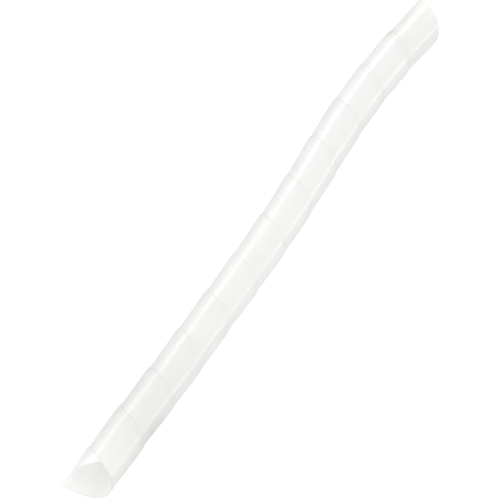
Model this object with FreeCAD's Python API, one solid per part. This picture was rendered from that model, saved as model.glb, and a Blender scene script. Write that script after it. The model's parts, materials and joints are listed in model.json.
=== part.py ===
"""Spiral tree guard tube: one plastic strip wound into a left-handed coil whose turns lap like roof tiles.

The tube lies along +X with its base end at -X and a slight sideways bow towards +Y near its far end.
Each turn of the strip is its own solid, cut from the next by a thin butt gap, so that the coil can be
flexed and stretched turn by turn. Lengths are millimetres and angles are degrees.
"""
import FreeCAD, Part
import math
import os

# Driving dimensions of the coil
PITCH = 46.8            # advance of the strip per turn
LAP = 3.5               # how far a turn's outer lip laps over the next turn
BORE_RADIUS = 18.2      # inside radius of every turn's band
WALL = 0.8              # strip thickness
LAP_GAP = 1.1           # radial play between a lip and the turn that it laps
BUTT_GAP = 1.2          # gap between the end of one turn and the start of the next
TURN_COUNT = 12

# Angles along the strip, counted from the near corner that its base end has before the trim
STRIP_END = 4423.0      # where the strip's near edge stops at the far end
CUT_SKEW = 98.0         # how much further back each end's slanting cut reaches the far edge
START_TRIM = 7.3        # how far the base end is trimmed into the strip's near edge at its corner
TRIM_END = 400.0        # angle at which that trim has run out
FIRST_JOIN = 408.6      # end of the first turn; the later turns are 360 long
START_BEARING = 3.6     # direction of that corner, from +Y towards +Z

# Profile across the strip, from its near edge (0) to its lip
WIDTH = PITCH + LAP
RAMP_START = 33.0       # the band is cylindrical up to here
RAMP_END = 42.5         # and from here the lip is cylindrical again
LIP_RISE = WALL + LAP_GAP
LIP_RADIUS = BORE_RADIUS + LIP_RISE + WALL

# The sideways bow of the tube
BOW_HEIGHT = 11.0
BOW_CENTRE = 488.0      # along X, from the strip's near corner before the trim
BOW_WIDTH = 120.0
BOW_INFLECTION = BOW_CENTRE + BOW_WIDTH / math.sqrt(2)   # the tube is straight from here on

# The base end's band is trued to an exact cylinder, where the trunk or a fixture enters
TRUED_RADIUS = BORE_RADIUS + 0.1
TRUED_LENGTH = 120.0

# Spacing of the points that the strip's faces pass through, along it and across it
ANGLE_STEP = 15.0
STATION_COUNT = 30


def bow(x):
    """The centreline's sideways offset and slope at x."""
    t = (min(x, BOW_INFLECTION) - BOW_CENTRE) / BOW_WIDTH
    offset = BOW_HEIGHT * math.exp(-t * t)
    slope = -2.0 * t / BOW_WIDTH * offset
    return offset + slope * max(0.0, x - BOW_INFLECTION), slope


def tube_point(x, bearing, radius):
    """The point at this bearing and radius round the centreline at x."""
    offset, slope = bow(x)
    heading = math.atan(slope)
    side = radius * math.cos(math.radians(bearing))
    up = radius * math.sin(math.radians(bearing))
    return FreeCAD.Vector(x - side * math.sin(heading), offset + side * math.cos(heading), up)


def ease(t):
    """A smooth step from 0 to 1 as t goes from 0 to 1."""
    t = min(1.0, max(0.0, t))
    return t * t * (3.0 - 2.0 * t)


def rise(station):
    """How far the strip's inner face stands off the bore at this distance from its near edge."""
    return LIP_RISE * ease((station - RAMP_START) / (RAMP_END - RAMP_START))


def trim(angle):
    """How far the base end's trim cuts into the strip's near edge at this angle."""
    return START_TRIM * (1.0 - ease(angle / TRIM_END))


def strip_point(angle, station, outside):
    """A point of the strip: angle along it, station across it, on its inner or outer face."""
    x = PITCH * angle / 360.0 + station
    radius = BORE_RADIUS + rise(station) + (WALL if outside else 0.0)
    return tube_point(x, START_BEARING - angle, radius)


def strip_face(start, start_skew, end, end_skew, outside):
    """The inner or outer face of the strip between two cuts, each slanting back by its skew."""
    steps = math.ceil((end - start + start_skew) / ANGLE_STEP)
    rows = []
    for i in range(steps + 1):
        row = []
        for j in range(STATION_COUNT + 1):
            across = j / STATION_COUNT
            first = start - start_skew * across
            last = end - end_skew * across
            angle = first + (last - first) * i / steps
            near = trim(angle)
            row.append(strip_point(angle, near + (WIDTH - near) * across, outside))
        rows.append(row)
    surface = Part.BSplineSurface()
    surface.interpolate(rows)
    return surface


def strip_turn(start, start_skew, end, end_skew):
    """A solid length of strip, closed by ruled faces along its two edges and its two cuts."""
    inner = strip_face(start, start_skew, end, end_skew, outside=False)
    outer = strip_face(start, start_skew, end, end_skew, outside=True)
    u0, u1, v0, v1 = inner.bounds()
    p0, p1, q0, q1 = outer.bounds()
    rims = [
        (inner.uIso(u0), outer.uIso(p0)),
        (inner.uIso(u1), outer.uIso(p1)),
        (inner.vIso(v0), outer.vIso(q0)),
        (inner.vIso(v1), outer.vIso(q1)),
    ]
    faces = [inner.toShape(), outer.toShape()]
    faces += [Part.makeRuledSurface(a.toShape(), b.toShape()) for a, b in rims]
    shell = Part.Shell(faces)
    shell.sewShape()
    solid = Part.Solid(shell)
    if solid.Volume < 0:
        solid.reverse()
    return solid


def true_bore(turn):
    """The first turn with its band trued to an exact cylinder."""
    offset = bow(0.0)[0]
    tool = Part.makeCylinder(
        TRUED_RADIUS, TRUED_LENGTH, FreeCAD.Vector(-1.0, offset, 0.0), FreeCAD.Vector(1, 0, 0)
    )
    return turn.cut(tool)


def build_turns():
    """Every turn in order, as {node name: solid}, with the tube's axis still at z = 0."""
    half_gap = math.degrees(BUTT_GAP / 2.0 / BORE_RADIUS)
    joins = [FIRST_JOIN + 360.0 * i for i in range(TURN_COUNT - 1)]
    turns = {}
    for number in range(1, TURN_COUNT + 1):
        first = number == 1
        last = number == TURN_COUNT
        start = 0.0 if first else joins[number - 2] + half_gap
        end = STRIP_END if last else joins[number - 1] - half_gap
        turn = strip_turn(start, CUT_SKEW if first else 0.0, end, CUT_SKEW if last else 0.0)
        turns[f"turn_{number:02d}"] = true_bore(turn) if first else turn
    return turns


def main():
    turns = build_turns()
    box = Part.makeCompound(list(turns.values())).optimalBoundingBox(False, False)
    to_origin = FreeCAD.Vector(-box.Center.x, -box.Center.y, LIP_RADIUS)
    os.makedirs("parts", exist_ok=True)
    for name, turn in turns.items():
        turn.translate(to_origin)
        turn.exportStep(f"parts/{name}.step")


main()
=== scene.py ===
"""Visual model of a spiral tree guard tube: one strip of milky plastic wound into a lapped coil.

The strip's surface is worked out in millimetres along the CAD's bowed centreline, and split at the CAD's
butt joins into turns, and each turn into quarters. For each quarter, the span over which it would go over
from one turn's body to the next is worked out but not used: only the base end and the top end are attached to
a body.
Angles are degrees.
"""
import json
import math

import bpy
import numpy as np
from mathutils import Matrix, Vector


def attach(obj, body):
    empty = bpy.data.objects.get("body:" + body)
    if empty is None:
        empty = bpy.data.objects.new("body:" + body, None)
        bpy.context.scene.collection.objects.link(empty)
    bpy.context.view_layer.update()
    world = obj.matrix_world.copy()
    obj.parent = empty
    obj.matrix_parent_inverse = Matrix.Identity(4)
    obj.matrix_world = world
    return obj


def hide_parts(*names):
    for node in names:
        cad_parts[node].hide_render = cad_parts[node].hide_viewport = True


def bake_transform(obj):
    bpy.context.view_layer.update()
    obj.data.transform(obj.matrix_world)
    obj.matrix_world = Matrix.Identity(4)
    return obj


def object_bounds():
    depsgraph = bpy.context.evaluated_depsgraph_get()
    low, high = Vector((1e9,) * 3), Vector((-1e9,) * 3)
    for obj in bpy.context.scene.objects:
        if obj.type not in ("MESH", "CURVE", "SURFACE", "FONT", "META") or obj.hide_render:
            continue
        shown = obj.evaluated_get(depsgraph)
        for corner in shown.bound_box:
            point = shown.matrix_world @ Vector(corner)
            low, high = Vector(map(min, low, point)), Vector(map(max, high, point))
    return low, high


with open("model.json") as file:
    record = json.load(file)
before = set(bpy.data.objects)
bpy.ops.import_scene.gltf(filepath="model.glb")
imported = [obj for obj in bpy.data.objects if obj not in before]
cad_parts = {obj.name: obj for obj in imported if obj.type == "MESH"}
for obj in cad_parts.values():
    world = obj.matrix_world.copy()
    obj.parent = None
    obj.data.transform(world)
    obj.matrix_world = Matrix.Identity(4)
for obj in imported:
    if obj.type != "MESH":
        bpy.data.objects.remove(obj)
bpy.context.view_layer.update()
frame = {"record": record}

MM = 0.001

# The coil, as in the CAD
PITCH = 46.8
LAP = 3.5
WIDTH = PITCH + LAP
STRIP_END = 4423.0
CUT_SKEW = 98.0
START_TRIM = 7.3
TRIM_END = 400.0
FIRST_JOIN = 408.6
START_BEARING = 3.6
TURN_COUNT = 12
BOW_HEIGHT = 11.0
BOW_CENTRE = 488.0
BOW_WIDTH = 120.0
BOW_INFLECTION = BOW_CENTRE + BOW_WIDTH / math.sqrt(2)

# The strip's own section: a slightly conical band that ends in a lip over the next turn
WALL = 0.5
BAND_RADIUS = 18.25         # inside, at the near edge
LIP_RISE = 0.74
CONE_START, CONE_END = 6.0, 45.0
CONE_EASE = 0.25            # share of the cone's length that eases in, and out
EDGE_ROUND = 0.1
EDGE_TAPER = 0.28           # how much thinner the strip is at its lip, and at the top end's cut
TAPER_WIDTH = 1.3           # over which it thins towards the lip
CUT_TAPER_WIDTH = 2.2       # over which it thins towards the cut
BODY_STATIONS = 26          # points across each face of the strip
TAPER_STATIONS = 5          # the ones of them in the lip's thinning

# Rows of points along the strip
ROW_STEP = 5.0
QUARTER = 90.0
MEAN_RADIUS = 19.2
CUT_ROWS = (CUT_TAPER_WIDTH, 1.6, 1.1, 0.6, 0.3)    # distances from the top end's cut
ROUNDING_ROWS = (0.0, 0.12, 0.5, 1.0)               # distances from a cut, as shares of EDGE_ROUND

# Small steps, in degrees and mm, that give the surface's slopes, and one along a cut, as a share of it
SLOPE_TURN, SLOPE_STEP, CUT_STEP = 0.05, 0.02, 0.001

# Small irregularities, from winding and use. Places along the tube are mm from the base end, and bearings are
# degrees round it: 0 is +Y and 90 is up. Sizes are in mm.
SWAY_SIZE, SWAY_START, SWAY_RATE = 0.75, 15.0, 1.756        # the rate is in degrees per mm
SWAY_MIDDLE, SWAY_REACH = 110.0, 90.0
TIP_LEAN, TIP_LEAN_START, TIP_LEAN_LENGTH = 1.5, 540.0, 90.0
WANDER_SIZE, WANDER_ZERO, WANDER_PERIOD = 2.0, 3.0, 6.6     # the last two are in turns
WANDER_BASE_SHARE, WANDER_GROWS_FROM, WANDER_GROWS_OVER = 0.3, 1.8, 2.0
BASE_SKEW, BASE_SKEW_BEARING = 6.0, 78.6
BASE_SKEW_GROWS_FROM, BASE_SKEW_GROWS_OVER = 35.0, 35.0
BASE_SKEW_FADES_FROM, BASE_SKEW_FADES_OVER = 100.0, 90.0
SWELL_ALONG, SWELL_ALONG_START, SWELL_ALONG_RATE = 0.25, 40.0, 0.75
OVAL, OVAL_BEARING, OVAL_TWIST = 0.12, 100.0, 0.35
LIP_SLOW_WANDER, LIP_SLOW_RATE, LIP_SLOW_START = 0.08, 2.3, 1.0     # rates are in radians per turn
LIP_QUICK_WANDER, LIP_QUICK_RATE = 0.05, 7.1
BASE_GAPE, BASE_GAPE_ANGLE, BASE_GAPE_REACH = 0.35, 200.0, 70.0
TOP_GAPE, TOP_GAPE_ANGLE, TOP_GAPE_REACH = 0.28, 3950.0, 80.0

# Painted shade and rim grey, and dust with painted shadow, in shares: 1 is as grey, or as dusty and shaded,
# as the material gets
# Painted shade: darker at both ends, and on the -Y side near the base end, with a painted shadow patch there
GREY_PLACES = (20.0, 75.0, 120.0, 190.0, 530.0, 600.0)
GREY_SHARES = (0.0, 0.18, 0.24, 0.0, 0.0, 0.75)
SIDE_GREY, SIDE_GREY_MIDDLE, SIDE_GREY_REACH = 0.5, 40.0, 60.0
SHADOW_PATCH_MIDDLE, SHADOW_PATCH_REACH = 90.0, 13.0
SIDE_BEARING, SIDE_NARROWNESS = 184.0, 7.0
RIM_GREY, RIM_GREY_WIDTH = 0.7, 1.5
# Painted shade in the darker seams near the base end and near the top end
BASE_SEAM_SHADE, BASE_SEAM_SHADE_ANGLE, BASE_SEAM_SHADE_REACH = 0.35, 580.0, 90.0
TOP_SEAM_SHADE, TOP_SEAM_SHADE_ANGLE, TOP_SEAM_SHADE_REACH = 0.6, 4330.0, 120.0
# Dust with a painted contact shadow beside each lip, and more painted shade on the upper side, where the
# highlight falls
LIP_DUST_AND_SHADOW, UPPER_SHADE, UPPER_BEARING, UPPER_NARROWNESS = 0.12, 0.45, 78.0, 12.0
HIDDEN_EDGE_SHADE, HIDDEN_EDGE_SHADE_SHARE = 0.12, 0.9      # painted shade along the hidden edge under a lip: the least, and the share of the darker seams' painted shade beside it

# Material: colours, and distances across the strip in the UV maps' units
MAP_UNIT = 100.0            # mm in one unit of the UV maps
MILK = (0.972, 0.973, 0.963, 1.0)
PALE_MILK = (0.978, 0.979, 0.972, 1.0)
STREAK_MILK = (0.98, 0.98, 0.976, 1.0)
# Painted light: the double layer at the lip is made whiter
PAINTED_DOUBLE_LAYER_LIGHT = (0.985, 0.985, 0.981, 1.0)
# Painted shade: the next turn's edge under a lip, as a dark line seen through it
EDGE_LINE_GREY = (0.80, 0.80, 0.785, 1.0)
# Dust with a painted contact shadow beside the lip of the turn before
DUST_AND_SHADOW_GREY = (0.80, 0.80, 0.79, 1.0)
# Painted shade at both ends and on the -Y side near the base end, and the grey that the rim and cuts go to
PAINTED_SHADE_AND_RIM_GREY = (0.90, 0.90, 0.885, 1.0)
DOUBLE_BLUR = 0.4 / MAP_UNIT
EDGE_LINE_WIDTH = 0.6 / MAP_UNIT
LIP_LINE_FULL = 0.4 / MAP_UNIT
LIP_LINE_END = 1.2 / MAP_UNIT
SINGLE_THROUGH, DOUBLE_THROUGH = 0.52, 0.46     # the translucent share of one layer, and of two
GLOSSY, SATIN = 0.36, 0.46                      # roughness

# Studio: the surroundings' grey at each height, from -1 straight down to 1 straight up
LEVELS_ABOVE = [(-0.05, 0.03), (0.03, 0.45), (0.4, 0.74), (1.0, 1.0)]
PLUS_Y_LEVELS = [(-1.0, 1.0), (-0.65, 0.9), (-0.3, 0.06)] + LEVELS_ABOVE
MINUS_Y_LEVELS = [(-1.0, 0.9), (-0.85, 0.58), (-0.6, 0.08)] + LEVELS_ABOVE
SIDE_BLEND = 0.2            # the surroundings go from -Y to +Y over twice this
WORLD_STRENGTH = 1.165
FLOOR_RADIUS, FLOOR_SIDES, FLOOR_GAP = 14.0, 96, 0.0002     # metres, and the gap below the tube
FLOOR_GLOW = 0.76

# Camera: where it stands, in degrees and metres, and the point of the tube that it looks at, in mm
CAMERA_AZIMUTH, CAMERA_ELEVATION, CAMERA_DISTANCE = 302.2, 58.03, 2.7378
CAMERA_LENS, CAMERA_SENSOR = 220.6, 36.0
AIM_ALONG, AIM_ACROSS, AIM_UP = 296.0, 10.85, -4.3

mount = frame["record"]["mounts"][0]
COIL_X = mount["pos_m"][0] / MM - START_TRIM
COIL_Y = mount["pos_m"][1] / MM
COIL_Z = mount["pos_m"][2] / MM


# Shape

def ease(t):
    """A smooth step from 0 to 1 as t goes from 0 to 1."""
    t = np.clip(t, 0.0, 1.0)
    return t * t * (3.0 - 2.0 * t)


def bump(value, middle, reach):
    """A smooth bump, 1 at the middle and nearly gone at twice the reach."""
    return np.exp(-(((value - middle) / reach) ** 2))


def round_bump(bearing, middle, narrowness):
    """A smooth bump round the tube, 1 at the middle bearing."""
    return np.exp(narrowness * (np.cos(np.radians(bearing - middle)) - 1.0))


def bow(x):
    """The centreline's sideways offset and slope at x."""
    t = (np.minimum(x, BOW_INFLECTION) - BOW_CENTRE) / BOW_WIDTH
    offset = BOW_HEIGHT * np.exp(-t * t)
    slope = -2.0 * t / BOW_WIDTH * offset
    return offset + slope * np.maximum(0.0, x - BOW_INFLECTION), slope


def sway(x):
    """A slight waviness of the centreline near the base end, and a lean of the tip towards -Y."""
    waves = SWAY_SIZE * np.sin(np.radians((x - SWAY_START) * SWAY_RATE)) * bump(x, SWAY_MIDDLE, SWAY_REACH)
    return waves - TIP_LEAN * ease((x - TIP_LEAN_START) / TIP_LEAN_LENGTH)


def winding_shift(angle):
    """How far along the tube the strip wanders from an even pitch, as hand-wound turns do."""
    turns = angle / 360.0
    growth = ease((turns - WANDER_GROWS_FROM) / WANDER_GROWS_OVER)
    share = WANDER_BASE_SHARE + (1.0 - WANDER_BASE_SHARE) * growth
    return -WANDER_SIZE * share * np.sin(2.0 * np.pi * (turns - WANDER_ZERO) / WANDER_PERIOD)


def base_skew(x, bearing):
    """The turns near the base end lean: their -Y side is further along the tube."""
    grown = ease((x - BASE_SKEW_GROWS_FROM) / BASE_SKEW_GROWS_OVER)
    faded = ease((x - BASE_SKEW_FADES_FROM) / BASE_SKEW_FADES_OVER)
    size = BASE_SKEW * grown * (1.0 - faded)
    return size * (1.0 - np.cos(np.radians(bearing - BASE_SKEW_BEARING))) / 2.0


def swell(x, bearing):
    """Small differences in radius along the tube and round it."""
    along = SWELL_ALONG * np.cos(np.radians((x - SWELL_ALONG_START) * SWELL_ALONG_RATE))
    oval = OVAL * np.cos(np.radians(2.0 * bearing - OVAL_BEARING + OVAL_TWIST * x))
    return along + oval


def lip_lift(angle):
    """How far the lip stands off more, or less, than its usual rise."""
    turns = angle / 360.0
    slow = LIP_SLOW_WANDER * np.sin(LIP_SLOW_RATE * turns + LIP_SLOW_START)
    quick = LIP_QUICK_WANDER * np.sin(LIP_QUICK_RATE * turns)
    base_gape = BASE_GAPE * bump(angle, BASE_GAPE_ANGLE, BASE_GAPE_REACH)
    top_gape = TOP_GAPE * bump(angle, TOP_GAPE_ANGLE, TOP_GAPE_REACH)
    return slow + quick + base_gape + top_gape


def trim(angle):
    """How far the base end's trim cuts into the strip's near edge at this angle."""
    return START_TRIM * (1.0 - ease(angle / TRIM_END))


def cone(station):
    """The share of the lip's rise reached at this distance from the near edge."""
    t = np.clip((station - CONE_START) / (CONE_END - CONE_START), 0.0, 1.0)
    e = CONE_EASE
    start = t * t / (2.0 * e * (1.0 - e))
    middle = (t - e / 2.0) / (1.0 - e)
    end = 1.0 - (1.0 - t) ** 2 / (2.0 * e * (1.0 - e))
    return np.where(t < e, start, np.where(t < 1.0 - e, middle, end))


def taper(station):
    """The share of the lip's thinning reached at this distance from the near edge."""
    return np.clip((station - WIDTH + TAPER_WIDTH) / TAPER_WIDTH, 0.0, 1.0) ** 2


def to_top_cut(angle, station):
    """The distance along the strip to the top end's slanting cut."""
    return np.radians(STRIP_END - CUT_SKEW * station / WIDTH - angle) * MEAN_RADIUS


def from_base_cut(angle, station):
    """The distance along the strip from the base end's slanting cut."""
    return np.radians(angle + CUT_SKEW * station / WIDTH) * MEAN_RADIUS


def cut_taper(angle, station):
    """The share of the thinning reached at this distance from the top end's slanting cut."""
    return np.clip(1.0 - to_top_cut(angle, station) / CUT_TAPER_WIDTH, 0.0, 1.0) ** 2


def strip_points(angle, station, depth):
    """Points of the strip in metres: depth 0 is its inner face and 1 its outer face."""
    bearing = START_BEARING - angle
    x = PITCH * angle / 360.0 + station + winding_shift(angle)
    x = x + base_skew(x, bearing)
    wall = WALL - EDGE_TAPER * np.maximum(taper(station), cut_taper(angle, station))
    inner = BAND_RADIUS + (LIP_RISE + lip_lift(angle)) * cone(station) + swell(x, bearing)
    radius = inner + wall * depth
    offset, slope = bow(x)
    heading = np.arctan(slope)
    side = radius * np.cos(np.radians(bearing))
    up = radius * np.sin(np.radians(bearing))
    points = np.stack([
        COIL_X + x - side * np.sin(heading),
        COIL_Y + offset + sway(x) + side * np.cos(heading),
        COIL_Z + up,
    ], axis=-1)
    return points * MM


def unit(v):
    """v, or each of an array of vectors, at length 1."""
    return v / np.linalg.norm(v, axis=-1, keepdims=True)


def strip_axes(angle, station, depth):
    """Unit vectors at points of the strip: out of its outer face, and in that face towards its lip."""
    ahead, behind = angle + SLOPE_TURN, angle - SLOPE_TURN
    along = strip_points(ahead, station, depth) - strip_points(behind, station, depth)
    further, nearer = station + SLOPE_STEP, station - SLOPE_STEP
    across = strip_points(angle, further, depth) - strip_points(angle, nearer, depth)
    out = unit(np.cross(across, along))
    return out, unit(np.cross(along, out))


def section_loop():
    """The strip's section as a closed loop, in arrays: share of the way across, offset towards the lip in mm,
    depth, and the surface normal's parts out of the outer face and towards the lip."""
    rim = EDGE_ROUND / WALL
    c = math.sqrt(0.5)
    loop = []
    taper_start = 1.0 - TAPER_WIDTH / WIDTH
    body = np.concatenate([
        np.linspace(0.0, taper_start, BODY_STATIONS - TAPER_STATIONS, endpoint=False),
        np.linspace(taper_start, 1.0, TAPER_STATIONS),
    ])
    for a in body:
        loop.append((a, EDGE_ROUND * (1.0 - 2.0 * a), 0.0, -1.0, 0.0))
    loop.append((1.0, -EDGE_ROUND * (1.0 - c), rim * (1.0 - c), -c, c))
    loop.append((1.0, 0.0, rim, 0.0, 1.0))
    loop.append((1.0, 0.0, 1.0 - rim, 0.0, 1.0))
    loop.append((1.0, -EDGE_ROUND * (1.0 - c), 1.0 - rim * (1.0 - c), c, c))
    for a in body[::-1]:
        loop.append((a, EDGE_ROUND * (1.0 - 2.0 * a), 1.0, 1.0, 0.0))
    loop.append((0.0, EDGE_ROUND * (1.0 - c), 1.0 - rim * (1.0 - c), c, -c))
    loop.append((0.0, 0.0, 1.0 - rim, 0.0, -1.0))
    loop.append((0.0, 0.0, rim, 0.0, -1.0))
    loop.append((0.0, EDGE_ROUND * (1.0 - c), rim * (1.0 - c), -c, -c))
    return [np.array(column) for column in zip(*loop)]


def row_plan(span, round_start, round_end):
    """Rows of a piece: share of the way along, extra angle, thickness share, and lean of the normals.
    A cut end is rounded over by its first or last rows, and the top end's has more rows where it thins."""
    rows = [(t, 0.0, 1.0, 0.0) for t in np.linspace(0.0, 1.0, math.ceil(span / ROW_STEP) + 1)]
    half = WALL / 2.0
    end_rows = []
    for back in ROUNDING_ROWS:
        thickness = 1.0 - EDGE_ROUND / half * (1.0 - math.sqrt(1.0 - (1.0 - back) ** 2))
        end_rows.append((math.degrees(back * EDGE_ROUND / MEAN_RADIUS), thickness, 1.0 - back))
    if round_start:
        rows = [(0.0, turn, thick, -lean) for turn, thick, lean in end_rows] + rows[1:]
    if round_end:
        cut_rows = [(1.0, -math.degrees(back / MEAN_RADIUS), 1.0, 0.0) for back in CUT_ROWS]
        rows = rows[:-2] + cut_rows + [(1.0, -turn, thick, lean) for turn, thick, lean in end_rows[::-1]]
    return [np.array(column)[:, None] for column in zip(*rows)]


def strip_piece(name, start, end, start_skew=0.0, end_skew=0.0, round_start=False, round_end=False):
    """A mesh object of the strip between two angles, with normals taken from the exact surface."""
    across, offset, depth, out_part, lip_part = section_loop()
    share, extra, thickness, lean = row_plan(end - start + start_skew, round_start, round_end)
    first = start - start_skew * across
    last = end - end_skew * across
    angle = first + (last - first) * share + extra
    near = trim(angle)
    station = near + (WIDTH - near) * across + offset
    depth = 0.5 + (depth - 0.5) * thickness
    points = strip_points(angle, station, depth)
    out, to_lip = strip_axes(angle, station, depth)
    skew = start_skew + (end_skew - start_skew) * share
    cut_low = strip_points(angle + CUT_STEP * skew, station - CUT_STEP * (WIDTH - near), depth)
    cut_high = strip_points(angle - CUT_STEP * skew, station + CUT_STEP * (WIDTH - near), depth)
    onward = unit(np.cross(out, cut_high - cut_low))
    flat = np.sqrt(1.0 - lean * lean)
    normals = (out * out_part[:, None] + to_lip * lip_part[:, None]) * flat[..., None]
    normals = unit(normals + onward * lean[..., None])

    rows, count = angle.shape
    i, j = np.meshgrid(np.arange(rows - 1), np.arange(count), indexing="ij")
    k = (j + 1) % count
    sides = np.stack([i * count + j, (i + 1) * count + j, (i + 1) * count + k, i * count + k], axis=-1)
    faces = sides.reshape(-1, 4)
    corner_normals = normals.reshape(-1, 3)[faces]

    # A cut end is closed by quads between the section's inner and outer points. The loop goes across the
    # inner face, through 4 points round the lip, back across the outer face, and through 4 points round the
    # near edge.
    m = np.arange(BODY_STATIONS - 1)
    outer = BODY_STATIONS + 4 + BODY_STATIONS - 1 - m
    cap = np.stack([m, outer, outer - 1, m + 1], axis=-1)
    lip = BODY_STATIONS - 1
    lip_cap = np.array([[lip, lip + 5, lip + 4, lip + 1], [lip + 1, lip + 4, lip + 3, lip + 2]])
    rim = 2 * BODY_STATIONS + 4
    rim_cap = np.array([[rim - 1, 0, rim + 3, rim], [rim, rim + 3, rim + 2, rim + 1]])
    cap = np.concatenate([cap, lip_cap, rim_cap])
    for wanted, row, side in ((round_start, 0, -1), (round_end, rows - 1, 1)):
        if not wanted:
            continue
        quads = cap[:, ::side]
        facing = onward[row][quads] * side
        faces = np.concatenate([faces, quads + row * count])
        corner_normals = np.concatenate([corner_normals, facing])

    mesh = bpy.data.meshes.new(name)
    mesh.from_pydata(points.reshape(-1, 3).tolist(), [], faces.tolist())
    mesh.update()
    mesh.shade_smooth()
    mesh.normals_split_custom_set([tuple(n) for n in corner_normals.reshape(-1, 3)])
    add_strip_map(mesh, angle, station)
    piece = bpy.data.objects.new(name, mesh)
    bpy.context.collection.objects.link(piece)
    mesh.materials.append(plastic)
    return piece


def side_grey(x, bearing, middle, reach):
    """The share of painted shade in a patch on the -Y side."""
    return bump(x, middle, reach) * round_bump(bearing, SIDE_BEARING, SIDE_NARROWNESS)


def painted_shade_share(x, bearing):
    """The share of painted shade at this place: both ends are painted darker, and the -Y side near the base
    end has more painted shade, with a painted shadow patch in it."""
    ends = np.interp(x, GREY_PLACES, GREY_SHARES)
    shadow_patch = side_grey(x, bearing, SHADOW_PATCH_MIDDLE, SHADOW_PATCH_REACH)
    return ends + shadow_patch + SIDE_GREY * side_grey(x, bearing, SIDE_GREY_MIDDLE, SIDE_GREY_REACH)


def rim_grey(angle, station):
    """The share of grey along the mouth's rim and the two slanting cuts."""
    past_rim = np.where(angle < 360.0 - CUT_SKEW, station - trim(angle), WIDTH)
    nearest = np.minimum(past_rim, np.minimum(from_base_cut(angle, station), to_top_cut(angle, station)))
    return RIM_GREY * bump(nearest, 0.0, RIM_GREY_WIDTH)


def dark_seam_shade(angle):
    """The share of painted shade in the seams beside two lips, one near the base end and one near the top
    end.
    """
    near_base = BASE_SEAM_SHADE * bump(angle, BASE_SEAM_SHADE_ANGLE, BASE_SEAM_SHADE_REACH)
    return near_base + TOP_SEAM_SHADE * bump(angle, TOP_SEAM_SHADE_ANGLE, TOP_SEAM_SHADE_REACH)


def lip_dust_and_shade(angle):
    """The share of dust and painted contact shadow on the strip beside the lip of the turn before; the upper
    side, where the highlight falls, has more painted shade.
    """
    upper = round_bump(START_BEARING - angle, UPPER_BEARING, UPPER_NARROWNESS)
    return LIP_DUST_AND_SHADOW + UPPER_SHADE * upper + dark_seam_shade(angle)


def hidden_edge_shade(angle):
    """The share of painted shade along the edge of the next turn, which lies under this lip and shows through
    it as a dark line.
    """
    return HIDDEN_EDGE_SHADE + HIDDEN_EDGE_SHADE_SHARE * dark_seam_shade(angle + 360.0)


def add_strip_map(mesh, angle, station):
    """UV maps for the material. Strip is the place along and across the strip, in MAP_UNIT. Lap is the
    distance past the next turn's edge, which shows through the lip, and past the lip of the turn before.
    The third map is how much painted shade, and grey at the rim, the strip has, and how much dust and painted
    shade lies at whichever of those two lines is nearer."""
    vertex = np.zeros(len(mesh.loops), int)
    mesh.loops.foreach_get("vertex_index", vertex)
    length = np.radians(angle) * MEAN_RADIUS
    hidden_edge = PITCH + winding_shift(angle + 360.0) - winding_shift(angle)
    lip_before = LAP + winding_shift(angle - 360.0) - winding_shift(angle)
    lapped = angle > 360.0 - CUT_SKEW
    past_lip = np.where(lapped, station - lip_before, -WIDTH)
    # Painted shade by place, and grey at the rim and cuts
    grey = painted_shade_share(PITCH * angle / 360.0 + station, START_BEARING - angle) + rim_grey(angle, station)
    # Dust with painted shadow beside the lip of the turn before, and painted shade along the hidden edge
    # under the lip
    dust_and_shade = np.where(station > WIDTH / 2.0, hidden_edge_shade(angle), lip_dust_and_shade(angle))
    maps = {
        "Strip": (length / MAP_UNIT, station / MAP_UNIT),
        "Lap": ((station - hidden_edge) / MAP_UNIT, past_lip / MAP_UNIT),
        "Wear": (grey, dust_and_shade),
    }
    for name, (u, v) in maps.items():
        layer = mesh.uv_layers.new(name=name)
        uv = np.stack([np.broadcast_to(c, angle.shape).ravel() for c in (u, v)], axis=-1)[vertex]
        layer.data.foreach_set("uv", uv.astype(np.float32).ravel())


def bend_span(start, end, low, high):
    def parameter(weight):
        """Where a smooth step from 0 to 1 reaches this weight."""
        return 0.5 - math.sin(math.asin(1.0 - 2.0 * weight) / 3.0)

    middle = (start + end) / 2.0
    x = PITCH * middle / 360.0 + WIDTH / 2.0
    offset, slope = bow(x)
    heading = math.atan(slope)
    bearing = math.radians(START_BEARING - middle)
    centre = Vector((COIL_X + x, COIL_Y + offset, COIL_Z)) * MM
    along = Vector((
        -math.sin(bearing) * math.sin(heading),
        math.sin(bearing) * math.cos(heading),
        -math.cos(bearing),
    ))
    chord = MEAN_RADIUS * MM * math.sin(math.radians(end - start) / 2.0)
    t0, t1 = parameter(low), parameter(high)
    length = 2.0 * chord / (t1 - t0)
    begin = -chord - t0 * length
    return centre + along * begin, centre + along * (begin + length)


# Materials

def new_material(name):
    """A material with no nodes yet, its nodes and its links."""
    material = bpy.data.materials.new(name)
    material.use_nodes = True
    material.node_tree.nodes.clear()
    return material, material.node_tree.nodes, material.node_tree.links


def noise(nodes, links, vector, scale, detail, roughness=0.5):
    """A noise texture over vector, stretched by a scale along and across."""
    mapping = nodes.new("ShaderNodeMapping")
    mapping.inputs["Scale"].default_value = (*scale, 1.0)
    links.new(vector, mapping.inputs["Vector"])
    texture = nodes.new("ShaderNodeTexNoise")
    texture.inputs["Scale"].default_value = 1.0
    texture.inputs["Detail"].default_value = detail
    texture.inputs["Roughness"].default_value = roughness
    links.new(mapping.outputs["Vector"], texture.inputs["Vector"])
    return texture.outputs["Fac"]


def remap(nodes, links, value, low, high, to_low, to_high):
    """value brought from the range low to high to the range to_low to to_high."""
    node = nodes.new("ShaderNodeMapRange")
    node.inputs["From Min"].default_value = low
    node.inputs["From Max"].default_value = high
    node.inputs["To Min"].default_value = to_low
    node.inputs["To Max"].default_value = to_high
    links.new(value, node.inputs["Value"])
    return node.outputs["Result"]


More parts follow.
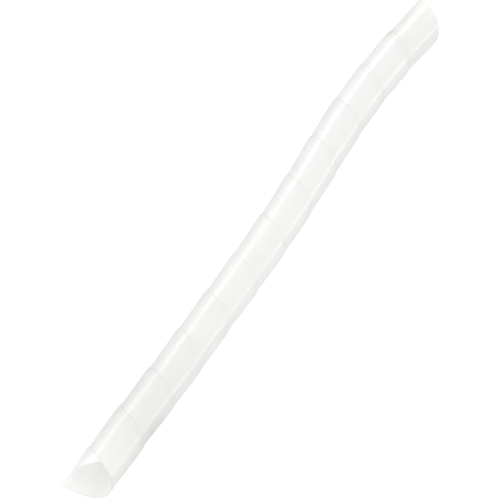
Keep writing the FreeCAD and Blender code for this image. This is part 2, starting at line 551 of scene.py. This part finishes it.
def multiply(nodes, links, first, second):
    """The product of two sockets."""
    node = nodes.new("ShaderNodeMath")
    node.operation = "MULTIPLY"
    links.new(first, node.inputs[0])
    links.new(second, node.inputs[1])
    return node.outputs["Value"]


def mix_colour(nodes, links, factor, first, second):
    """first where factor is 0 and second where it is 1; each is a colour or a socket."""
    node = nodes.new("ShaderNodeMix")
    node.data_type = "RGBA"
    links.new(factor, node.inputs["Factor"])
    for socket, value in (("A", first), ("B", second)):
        target = next(s for s in node.inputs if s.name == socket and s.type == "RGBA")
        if isinstance(value, tuple):
            target.default_value = value
        else:
            links.new(value, target)
    return next(s for s in node.outputs if s.type == "RGBA")


def plastic_material():
    """Milky, slightly translucent plastic with extrusion lines along the strip."""
    material, nodes, links = new_material("guard_plastic")
    strip = nodes.new("ShaderNodeUVMap")
    strip.uv_map = "Strip"
    lap = nodes.new("ShaderNodeUVMap")
    lap.uv_map = "Lap"
    across = nodes.new("ShaderNodeSeparateXYZ")
    links.new(lap.outputs["UV"], across.inputs["Vector"])
    past_edge, past_lip = across.outputs["X"], across.outputs["Y"]
    # The map of painted shade and rim grey, and of dust and painted shade
    shade_and_dust_map = nodes.new("ShaderNodeUVMap")
    shade_and_dust_map.uv_map = "Wear"
    shares = nodes.new("ShaderNodeSeparateXYZ")
    links.new(shade_and_dust_map.outputs["UV"], shares.inputs["Vector"])
    grey_share, dust_and_shade_share = shares.outputs["X"], shares.outputs["Y"]

    # Colour: cloudy white with streaks, painted light on the double layer at the lip, the hidden edge as a
    # thin
    #     # line of painted shade, a faint line of dust and painted shadow where the lip of the turn before
    #     rests, and
    #     # painted shade at the ends and on the -Y side, with grey at the rim
    cloud = noise(nodes, links, strip.outputs["UV"], scale=(4.0, 7.0), detail=2.0)
    streak = noise(nodes, links, strip.outputs["UV"], scale=(0.6, 60.0), detail=3.0, roughness=0.6)
    cloud_share = remap(nodes, links, cloud, 0.3, 0.7, 0.0, 1.0)
    colour = mix_colour(nodes, links, cloud_share, MILK, PALE_MILK)
    streak_share = remap(nodes, links, streak, 0.35, 0.75, 0.0, 0.5)
    colour = mix_colour(nodes, links, streak_share, colour, STREAK_MILK)
    # Painted light: the double layer at the lip is made whiter
    double = remap(nodes, links, past_edge, 0.0, DOUBLE_BLUR, 0.0, 1.0)
    colour = mix_colour(nodes, links, double, colour, PAINTED_DOUBLE_LAYER_LIGHT)
    # Painted shade along the hidden edge under the lip, as a thin dark line
    from_edge = nodes.new("ShaderNodeMath")
    from_edge.operation = "ABSOLUTE"
    links.new(past_edge, from_edge.inputs[0])
    at_edge = remap(nodes, links, from_edge.outputs["Value"], 0.0, EDGE_LINE_WIDTH, 1.0, 0.0)
    colour = mix_colour(nodes, links, multiply(nodes, links, at_edge, dust_and_shade_share), colour, EDGE_LINE_GREY)
    # Dust with a painted contact shadow just past the lip of the turn before
    under_lip = remap(nodes, links, past_lip, -LIP_LINE_FULL, 0.0, 0.0, 1.0)
    beyond_lip = remap(nodes, links, past_lip, LIP_LINE_FULL, LIP_LINE_END, 1.0, 0.0)
    at_lip = multiply(nodes, links, under_lip, beyond_lip)
    colour = mix_colour(nodes, links, multiply(nodes, links, at_lip, dust_and_shade_share), colour, DUST_AND_SHADOW_GREY)
    # Painted shade at both ends and on the -Y side near the base end, with a painted shadow patch, and grey
    # at the rim and cuts
    colour = mix_colour(nodes, links, grey_share, colour, PAINTED_SHADE_AND_RIM_GREY)

    # Finish: satin with glossier patches, and fine lines along the strip
    patches = noise(nodes, links, strip.outputs["UV"], scale=(3.0, 6.0), detail=3.0)
    roughness = remap(nodes, links, patches, 0.3, 0.7, GLOSSY, SATIN)
    lines = nodes.new("ShaderNodeBump")
    lines.inputs["Strength"].default_value = 0.08
    lines.inputs["Distance"].default_value = 0.0001
    links.new(streak, lines.inputs["Height"])

    surface = nodes.new("ShaderNodeBsdfPrincipled")
    surface.inputs["IOR"].default_value = 1.5
    surface.inputs["Specular IOR Level"].default_value = 1.0
    surface.inputs["Coat Weight"].default_value = 1.0
    surface.inputs["Coat Roughness"].default_value = 0.17
    links.new(colour, surface.inputs["Base Color"])
    links.new(roughness, surface.inputs["Roughness"])
    links.new(lines.outputs["Normal"], surface.inputs["Normal"])
    through = nodes.new("ShaderNodeBsdfTranslucent")
    links.new(colour, through.inputs["Color"])
    mixed = nodes.new("ShaderNodeMixShader")
    links.new(remap(nodes, links, double, 0.0, 1.0, SINGLE_THROUGH, DOUBLE_THROUGH), mixed.inputs["Fac"])
    links.new(surface.outputs["BSDF"], mixed.inputs[1])
    links.new(through.outputs["BSDF"], mixed.inputs[2])
    output = nodes.new("ShaderNodeOutputMaterial")
    links.new(mixed.outputs["Shader"], output.inputs["Surface"])
    return material


def floor_material():
    """A plain pale light table, whose own glow keeps the tube's shadow faint."""
    material, nodes, links = new_material("studio_floor")
    surface = nodes.new("ShaderNodeBsdfPrincipled")
    surface.inputs["Base Color"].default_value = (0.5, 0.5, 0.5, 1.0)
    surface.inputs["Roughness"].default_value = 0.9
    surface.inputs["Specular IOR Level"].default_value = 0.0
    surface.inputs["Emission Color"].default_value = (1.0, 1.0, 1.0, 1.0)
    surface.inputs["Emission Strength"].default_value = FLOOR_GLOW
    output = nodes.new("ShaderNodeOutputMaterial")
    links.new(surface.outputs["BSDF"], output.inputs["Surface"])
    return material


plastic = plastic_material()


# Pieces

def turn_name(number):
    """The name of a turn's body, which is also its CAD node's."""
    return f"turn_{number:02d}"


def build_quarters(number, start, parts):
    """Quarters of a turn, as pieces that are not attached to a body. parts says, for each quarter's number,
    how far the strip has gone over to the next body where the quarter starts; the span this gives is worked
    out but not used."""
    for part, share in parts.items():
        piece = strip_piece(f"coil_{turn_name(number)}_part_{part}", start, start + QUARTER)
        begin, finish = bend_span(start, start + QUARTER, share, share + QUARTER / 360.0)
        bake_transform(piece)
        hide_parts(turn_name(number))
        start += QUARTER


def build_coil():
    """The whole strip: the base end, the quarters of every turn, and the top end."""
    for number in range(1, TURN_COUNT + 1):
        join = FIRST_JOIN + 360.0 * (number - 1)
        if number > 1:
            build_quarters(number, join - 360.0, {1: 0.5, 2: 0.75})
        if number < TURN_COUNT:
            build_quarters(number, join - 180.0, {3: 0.0, 4: 0.25})
    base = strip_piece("coil_base_end", 0.0, FIRST_JOIN - 180.0, start_skew=CUT_SKEW, round_start=True)
    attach(base, turn_name(1))
    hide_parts(turn_name(1))
    last_middle = FIRST_JOIN + 360.0 * (TURN_COUNT - 2) + 180.0
    top = strip_piece("coil_top_end", last_middle, STRIP_END, end_skew=CUT_SKEW, round_end=True)
    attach(top, turn_name(TURN_COUNT))
    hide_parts(turn_name(TURN_COUNT))


build_coil()
visual_low, visual_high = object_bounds()


# Stage

def build_floor():
    """A large pale disc just under the tube."""
    angles = [2 * math.pi * i / FLOOR_SIDES for i in range(FLOOR_SIDES)]
    ring = [(FLOOR_RADIUS * math.cos(angle), FLOOR_RADIUS * math.sin(angle), 0.0) for angle in angles]
    mesh = bpy.data.meshes.new("studio_floor")
    mesh.from_pydata(ring, [], [tuple(range(FLOOR_SIDES))])
    mesh.materials.append(floor_material())
    floor = bpy.data.objects.new("studio_floor", mesh)
    bpy.context.collection.objects.link(floor)
    floor.location.z = visual_low.z - FLOOR_GAP
    floor.visible_glossy = False


def softbox(name, direction, distance, width, height, power):
    """An area light aimed at the tube from this direction, wide along X: metres and watts."""
    data = bpy.data.lights.new(name, "AREA")
    data.shape = "RECTANGLE"
    data.size, data.size_y = width, height
    data.energy = power
    light = bpy.data.objects.new(name, data)
    bpy.context.collection.objects.link(light)
    target = (visual_low + visual_high) / 2.0
    back = Vector(direction).normalized()
    light.location = target + back * distance
    side = Vector((1.0, 0.0, 0.0))
    side = (side - back * side.dot(back)).normalized()
    light.rotation_euler = Matrix((side, back.cross(side), back)).transposed().to_euler()


def glow_ramp(nodes, links, height, levels):
    """The surroundings' colour on one side: a ramp through these greys, by height."""
    ramp = nodes.new("ShaderNodeValToRGB")
    links.new(remap(nodes, links, height, -1.0, 1.0, 0.0, 1.0), ramp.inputs["Fac"])
    stops = ramp.color_ramp.elements
    for z, grey in levels[1:-1]:
        stops.new((z + 1.0) / 2.0).color = (grey, grey, grey, 1.0)
    for stop, (_, grey) in ((stops[0], levels[0]), (stops[-1], levels[-1])):
        stop.color = (grey, grey, grey, 1.0)
    return ramp.outputs["Color"]


def build_light():
    """Surroundings that are dark below the horizon, more so on -Y, and three softboxes."""
    world = bpy.data.worlds.new("studio")
    bpy.context.scene.world = world
    world.use_nodes = True
    nodes, links = world.node_tree.nodes, world.node_tree.links
    direction = nodes.new("ShaderNodeTexCoord")
    parts = nodes.new("ShaderNodeSeparateXYZ")
    links.new(direction.outputs["Generated"], parts.inputs["Vector"])
    plus_y = glow_ramp(nodes, links, parts.outputs["Z"], PLUS_Y_LEVELS)
    minus_y = glow_ramp(nodes, links, parts.outputs["Z"], MINUS_Y_LEVELS)
    side = remap(nodes, links, parts.outputs["Y"], -SIDE_BLEND, SIDE_BLEND, 0.0, 1.0)
    glow = mix_colour(nodes, links, side, minus_y, plus_y)
    links.new(glow, nodes["Background"].inputs["Color"])
    nodes["Background"].inputs["Strength"].default_value = WORLD_STRENGTH
    softbox("key_softbox", (0.45, 0.605, 0.655), distance=2.6, width=2.0, height=0.85, power=16.0)
    softbox("low_softbox", (0.45, -0.88, 0.09), distance=2.4, width=1.8, height=0.15, power=8.5)
    softbox("fill_softbox", (-0.6, -0.78, 0.2), distance=1.8, width=1.5, height=1.0, power=0.8)


def build_camera():
    """The photograph's view: from above the base end, looking along the tube to its top end."""
    azimuth, elevation = math.radians(CAMERA_AZIMUTH), math.radians(CAMERA_ELEVATION)
    aim = Vector((COIL_X + AIM_ALONG, COIL_Y + AIM_ACROSS, COIL_Z + AIM_UP)) * MM
    back = Vector((
        math.sin(azimuth) * math.cos(elevation),
        -math.cos(azimuth) * math.cos(elevation),
        math.sin(elevation),
    ))
    data = bpy.data.cameras.new("camera")
    data.lens = CAMERA_LENS
    data.sensor_width = CAMERA_SENSOR
    data.clip_end = 100.0
    camera = bpy.data.objects.new("camera", data)
    bpy.context.collection.objects.link(camera)
    camera.location = aim + back * CAMERA_DISTANCE
    camera.rotation_mode = "QUATERNION"
    camera.rotation_quaternion = (-back).to_track_quat("-Z", "Y")
    bpy.context.scene.camera = camera


build_floor()
build_light()
build_camera()
bpy.context.scene.view_settings.view_transform = "Standard"
